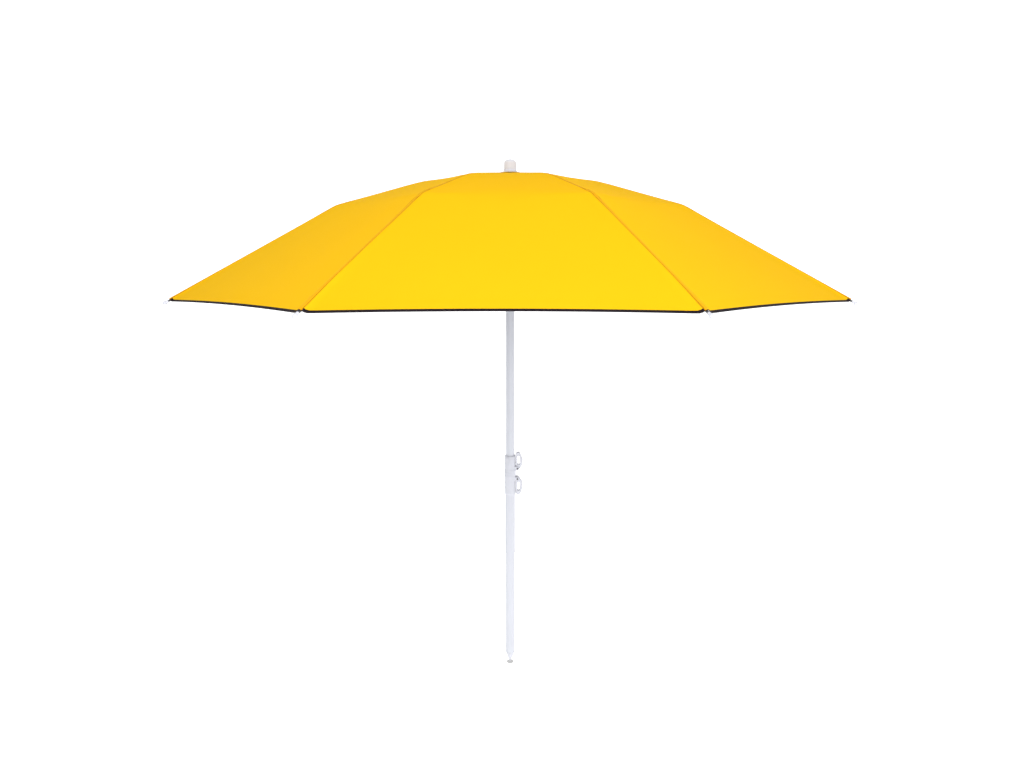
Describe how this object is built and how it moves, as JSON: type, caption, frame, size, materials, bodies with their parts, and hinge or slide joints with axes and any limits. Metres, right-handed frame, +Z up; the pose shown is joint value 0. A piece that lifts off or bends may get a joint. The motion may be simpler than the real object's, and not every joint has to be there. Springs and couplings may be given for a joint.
{
  "type": "beach umbrella",
  "caption": "Beach umbrella with folding two-part ribs on a runner, a domed finial, a telescoping pole with a two-lever clamp and a pointed ground spike.",
  "frame": {"origin": "the point of the ground spike, on the pole's axis", "axes": "+Z up the pole; -Y faces the viewer with one gore centred on it; +X is the side of the clamp levers"},
  "size_m": [1.673, 1.673, 1.4761],
  "materials": {
    "white_tube": "satin powder coat",
    "white_plastic": "satin moulded",
    "dark_plastic": "moulded",
    "dark_steel": "blackened",
    "zinc_steel": "zinc plated",
    "rib_rod": "glass fibre rod",
    "canopy_cloth": "woven polyester, dark coated inside"
  },
  "bodies": {
    "lower_pole": {"spike_tip": "white_plastic", "spike_tube": "white_tube", "lower_tube": "white_tube", "connector": "white_plastic", "connector_screws": "zinc_steel", "lever_pins": "dark_steel", "upper_clamp_pad": "white_plastic", "lower_clamp_pad": "white_plastic"},
    "upper_lever": {"upper_lever": "white_plastic"},
    "lower_lever": {"lower_lever": "white_plastic"},
    "upper_pole": {"upper_pole": "white_tube", "crown_hub": "white_plastic", "crown_pins": "zinc_steel", "finial": "white_plastic", "finial_washer": "white_plastic", "canopy": "canopy_cloth"},
    "runner": {"runner": "white_plastic", "runner_pins": "zinc_steel", "trigger_spring": "zinc_steel"},
    "trigger": {"runner_trigger": "dark_plastic"},
    "inner_rib_1": {"inner_rib_1": "rib_rod", "fold_joint_1": "dark_plastic"},
    "outer_rib_1": {"outer_rib_1": "rib_rod", "rib_tip_1": "white_plastic"},
    "stretcher_1": {"stretcher_1": "zinc_steel"},
    "inner_rib_2": {"inner_rib_2": "rib_rod", "fold_joint_2": "dark_plastic"},
    "outer_rib_2": {"outer_rib_2": "rib_rod", "rib_tip_2": "white_plastic"},
    "stretcher_2": {"stretcher_2": "zinc_steel"},
    "inner_rib_3": {"inner_rib_3": "rib_rod", "fold_joint_3": "dark_plastic"},
    "outer_rib_3": {"outer_rib_3": "rib_rod", "rib_tip_3": "white_plastic"},
    "stretcher_3": {"stretcher_3": "zinc_steel"},
    "inner_rib_4": {"inner_rib_4": "rib_rod", "fold_joint_4": "dark_plastic"},
    "outer_rib_4": {"outer_rib_4": "rib_rod", "rib_tip_4": "white_plastic"},
    "stretcher_4": {"stretcher_4": "zinc_steel"},
    "inner_rib_5": {"inner_rib_5": "rib_rod", "fold_joint_5": "dark_plastic"},
    "outer_rib_5": {"outer_rib_5": "rib_rod", "rib_tip_5": "white_plastic"},
    "stretcher_5": {"stretcher_5": "zinc_steel"},
    "inner_rib_6": {"inner_rib_6": "rib_rod", "fold_joint_6": "dark_plastic"},
    "outer_rib_6": {"outer_rib_6": "rib_rod", "rib_tip_6": "white_plastic"},
    "stretcher_6": {"stretcher_6": "zinc_steel"},
    "inner_rib_7": {"inner_rib_7": "rib_rod", "fold_joint_7": "dark_plastic"},
    "outer_rib_7": {"outer_rib_7": "rib_rod", "rib_tip_7": "white_plastic"},
    "stretcher_7": {"stretcher_7": "zinc_steel"},
    "inner_rib_8": {"inner_rib_8": "rib_rod", "fold_joint_8": "dark_plastic"},
    "outer_rib_8": {"outer_rib_8": "rib_rod", "rib_tip_8": "white_plastic"},
    "stretcher_8": {"stretcher_8": "zinc_steel"}
  },
  "joints": [
    {"name": "height_slide", "type": "slide", "parent": "lower_pole", "child": "upper_pole", "axis": [0, 0, 1], "range_m": [-0.13, 0.04]},
    {"name": "upper_lever_hinge", "type": "hinge", "parent": "lower_pole", "child": "upper_lever", "pos_m": [0.0215, 0, 0.56895], "axis": [0, 1, 0], "range_deg": [0, 80]},
    {"name": "lower_lever_hinge", "type": "hinge", "parent": "lower_pole", "child": "lower_lever", "pos_m": [0.0215, 0, 0.53865], "axis": [0, -1, 0], "range_deg": [0, 80]},
    {"name": "runner_slide", "type": "slide", "parent": "upper_pole", "child": "runner", "axis": [0, 0, 1], "range_m": [-0.2605, 0], "deforming": ["canopy"]},
    {"name": "trigger_rock", "type": "hinge", "parent": "runner", "child": "trigger", "pos_m": [0, -0.0215, 1.21556], "axis": [1, 0, 0], "range_deg": [0, 8], "stiffness_Nm_per_rad": 0.5},
    {"name": "inner_rib_1_hinge", "type": "hinge", "parent": "upper_pole", "child": "inner_rib_1", "pos_m": [0.02402, 0.00995, 1.42742], "axis": [-0.3827, 0.9239, 0], "range_deg": [0, 71.05]},
    {"name": "outer_rib_1_hinge", "type": "hinge", "parent": "inner_rib_1", "child": "outer_rib_1", "pos_m": [0.46143, 0.19113, 1.31257], "axis": [-0.3827, 0.9239, 0], "range_deg": [-191.47, 0]},
    {"name": "stretcher_1_hinge", "type": "hinge", "parent": "runner", "child": "stretcher_1", "pos_m": [0.02402, 0.00995, 1.24956], "axis": [-0.3827, 0.9239, 0], "range_deg": [-43.96, 0]},
    {"name": "inner_rib_2_hinge", "type": "hinge", "parent": "upper_pole", "child": "inner_rib_2", "pos_m": [0.00995, 0.02402, 1.42742], "axis": [-0.9239, 0.3827, 0], "range_deg": [0, 71.05]},
    {"name": "outer_rib_2_hinge", "type": "hinge", "parent": "inner_rib_2", "child": "outer_rib_2", "pos_m": [0.19113, 0.46143, 1.31257], "axis": [-0.9239, 0.3827, 0], "range_deg": [-191.47, 0]},
    {"name": "stretcher_2_hinge", "type": "hinge", "parent": "runner", "child": "stretcher_2", "pos_m": [0.00995, 0.02402, 1.24956], "axis": [-0.9239, 0.3827, 0], "range_deg": [-43.96, 0]},
    {"name": "inner_rib_3_hinge", "type": "hinge", "parent": "upper_pole", "child": "inner_rib_3", "pos_m": [-0.00995, 0.02402, 1.42742], "axis": [-0.9239, -0.3827, 0], "range_deg": [0, 71.05]},
    {"name": "outer_rib_3_hinge", "type": "hinge", "parent": "inner_rib_3", "child": "outer_rib_3", "pos_m": [-0.19113, 0.46143, 1.31257], "axis": [-0.9239, -0.3827, 0], "range_deg": [-191.47, 0]},
    {"name": "stretcher_3_hinge", "type": "hinge", "parent": "runner", "child": "stretcher_3", "pos_m": [-0.00995, 0.02402, 1.24956], "axis": [-0.9239, -0.3827, 0], "range_deg": [-43.96, 0]},
    {"name": "inner_rib_4_hinge", "type": "hinge", "parent": "upper_pole", "child": "inner_rib_4", "pos_m": [-0.02402, 0.00995, 1.42742], "axis": [-0.3827, -0.9239, 0], "range_deg": [0, 71.05]},
    {"name": "outer_rib_4_hinge", "type": "hinge", "parent": "inner_rib_4", "child": "outer_rib_4", "pos_m": [-0.46143, 0.19113, 1.31257], "axis": [-0.3827, -0.9239, 0], "range_deg": [-191.47, 0]},
    {"name": "stretcher_4_hinge", "type": "hinge", "parent": "runner", "child": "stretcher_4", "pos_m": [-0.02402, 0.00995, 1.24956], "axis": [-0.3827, -0.9239, 0], "range_deg": [-43.96, 0]},
    {"name": "inner_rib_5_hinge", "type": "hinge", "parent": "upper_pole", "child": "inner_rib_5", "pos_m": [-0.02402, -0.00995, 1.42742], "axis": [0.3827, -0.9239, 0], "range_deg": [0, 71.05]},
    {"name": "outer_rib_5_hinge", "type": "hinge", "parent": "inner_rib_5", "child": "outer_rib_5", "pos_m": [-0.46143, -0.19113, 1.31257], "axis": [0.3827, -0.9239, 0], "range_deg": [-191.47, 0]},
    {"name": "stretcher_5_hinge", "type": "hinge", "parent": "runner", "child": "stretcher_5", "pos_m": [-0.02402, -0.00995, 1.24956], "axis": [0.3827, -0.9239, 0], "range_deg": [-43.96, 0]},
    {"name": "inner_rib_6_hinge", "type": "hinge", "parent": "upper_pole", "child": "inner_rib_6", "pos_m": [-0.00995, -0.02402, 1.42742], "axis": [0.9239, -0.3827, 0], "range_deg": [0, 71.05]},
    {"name": "outer_rib_6_hinge", "type": "hinge", "parent": "inner_rib_6", "child": "outer_rib_6", "pos_m": [-0.19113, -0.46143, 1.31257], "axis": [0.9239, -0.3827, 0], "range_deg": [-191.47, 0]},
    {"name": "stretcher_6_hinge", "type": "hinge", "parent": "runner", "child": "stretcher_6", "pos_m": [-0.00995, -0.02402, 1.24956], "axis": [0.9239, -0.3827, 0], "range_deg": [-43.96, 0]},
    {"name": "inner_rib_7_hinge", "type": "hinge", "parent": "upper_pole", "child": "inner_rib_7", "pos_m": [0.00995, -0.02402, 1.42742], "axis": [0.9239, 0.3827, 0], "range_deg": [0, 71.05]},
    {"name": "outer_rib_7_hinge", "type": "hinge", "parent": "inner_rib_7", "child": "outer_rib_7", "pos_m": [0.19113, -0.46143, 1.31257], "axis": [0.9239, 0.3827, 0], "range_deg": [-191.47, 0]},
    {"name": "stretcher_7_hinge", "type": "hinge", "parent": "runner", "child": "stretcher_7", "pos_m": [0.00995, -0.02402, 1.24956], "axis": [0.9239, 0.3827, 0], "range_deg": [-43.96, 0]},
    {"name": "inner_rib_8_hinge", "type": "hinge", "parent": "upper_pole", "child": "inner_rib_8", "pos_m": [0.02402, -0.00995, 1.42742], "axis": [0.3827, 0.9239, 0], "range_deg": [0, 71.05]},
    {"name": "outer_rib_8_hinge", "type": "hinge", "parent": "inner_rib_8", "child": "outer_rib_8", "pos_m": [0.46143, -0.19113, 1.31257], "axis": [0.3827, 0.9239, 0], "range_deg": [-191.47, 0]},
    {"name": "stretcher_8_hinge", "type": "hinge", "parent": "runner", "child": "stretcher_8", "pos_m": [0.02402, -0.00995, 1.24956], "axis": [0.3827, 0.9239, 0], "range_deg": [-43.96, 0]}
  ],
  "couplings": [
    {"joint": "inner_rib_1_hinge", "follows": "runner_slide", "rad_per_m": -4.7569},
    {"joint": "outer_rib_1_hinge", "follows": "runner_slide", "rad_per_m": 12.825},
    {"joint": "stretcher_1_hinge", "follows": "runner_slide", "rad_per_m": 2.9421},
    {"joint": "inner_rib_2_hinge", "follows": "runner_slide", "rad_per_m": -4.7569},
    {"joint": "outer_rib_2_hinge", "follows": "runner_slide", "rad_per_m": 12.825},
    {"joint": "stretcher_2_hinge", "follows": "runner_slide", "rad_per_m": 2.9421},
    {"joint": "inner_rib_3_hinge", "follows": "runner_slide", "rad_per_m": -4.7569},
    {"joint": "outer_rib_3_hinge", "follows": "runner_slide", "rad_per_m": 12.825},
    {"joint": "stretcher_3_hinge", "follows": "runner_slide", "rad_per_m": 2.9421},
    {"joint": "inner_rib_4_hinge", "follows": "runner_slide", "rad_per_m": -4.7569},
    {"joint": "outer_rib_4_hinge", "follows": "runner_slide", "rad_per_m": 12.825},
    {"joint": "stretcher_4_hinge", "follows": "runner_slide", "rad_per_m": 2.9421},
    {"joint": "inner_rib_5_hinge", "follows": "runner_slide", "rad_per_m": -4.7569},
    {"joint": "outer_rib_5_hinge", "follows": "runner_slide", "rad_per_m": 12.825},
    {"joint": "stretcher_5_hinge", "follows": "runner_slide", "rad_per_m": 2.9421},
    {"joint": "inner_rib_6_hinge", "follows": "runner_slide", "rad_per_m": -4.7569},
    {"joint": "outer_rib_6_hinge", "follows": "runner_slide", "rad_per_m": 12.825},
    {"joint": "stretcher_6_hinge", "follows": "runner_slide", "rad_per_m": 2.9421},
    {"joint": "inner_rib_7_hinge", "follows": "runner_slide", "rad_per_m": -4.7569},
    {"joint": "outer_rib_7_hinge", "follows": "runner_slide", "rad_per_m": 12.825},
    {"joint": "stretcher_7_hinge", "follows": "runner_slide", "rad_per_m": 2.9421},
    {"joint": "inner_rib_8_hinge", "follows": "runner_slide", "rad_per_m": -4.7569},
    {"joint": "outer_rib_8_hinge", "follows": "runner_slide", "rad_per_m": 12.825},
    {"joint": "stretcher_8_hinge", "follows": "runner_slide", "rad_per_m": 2.9421}
  ]
}
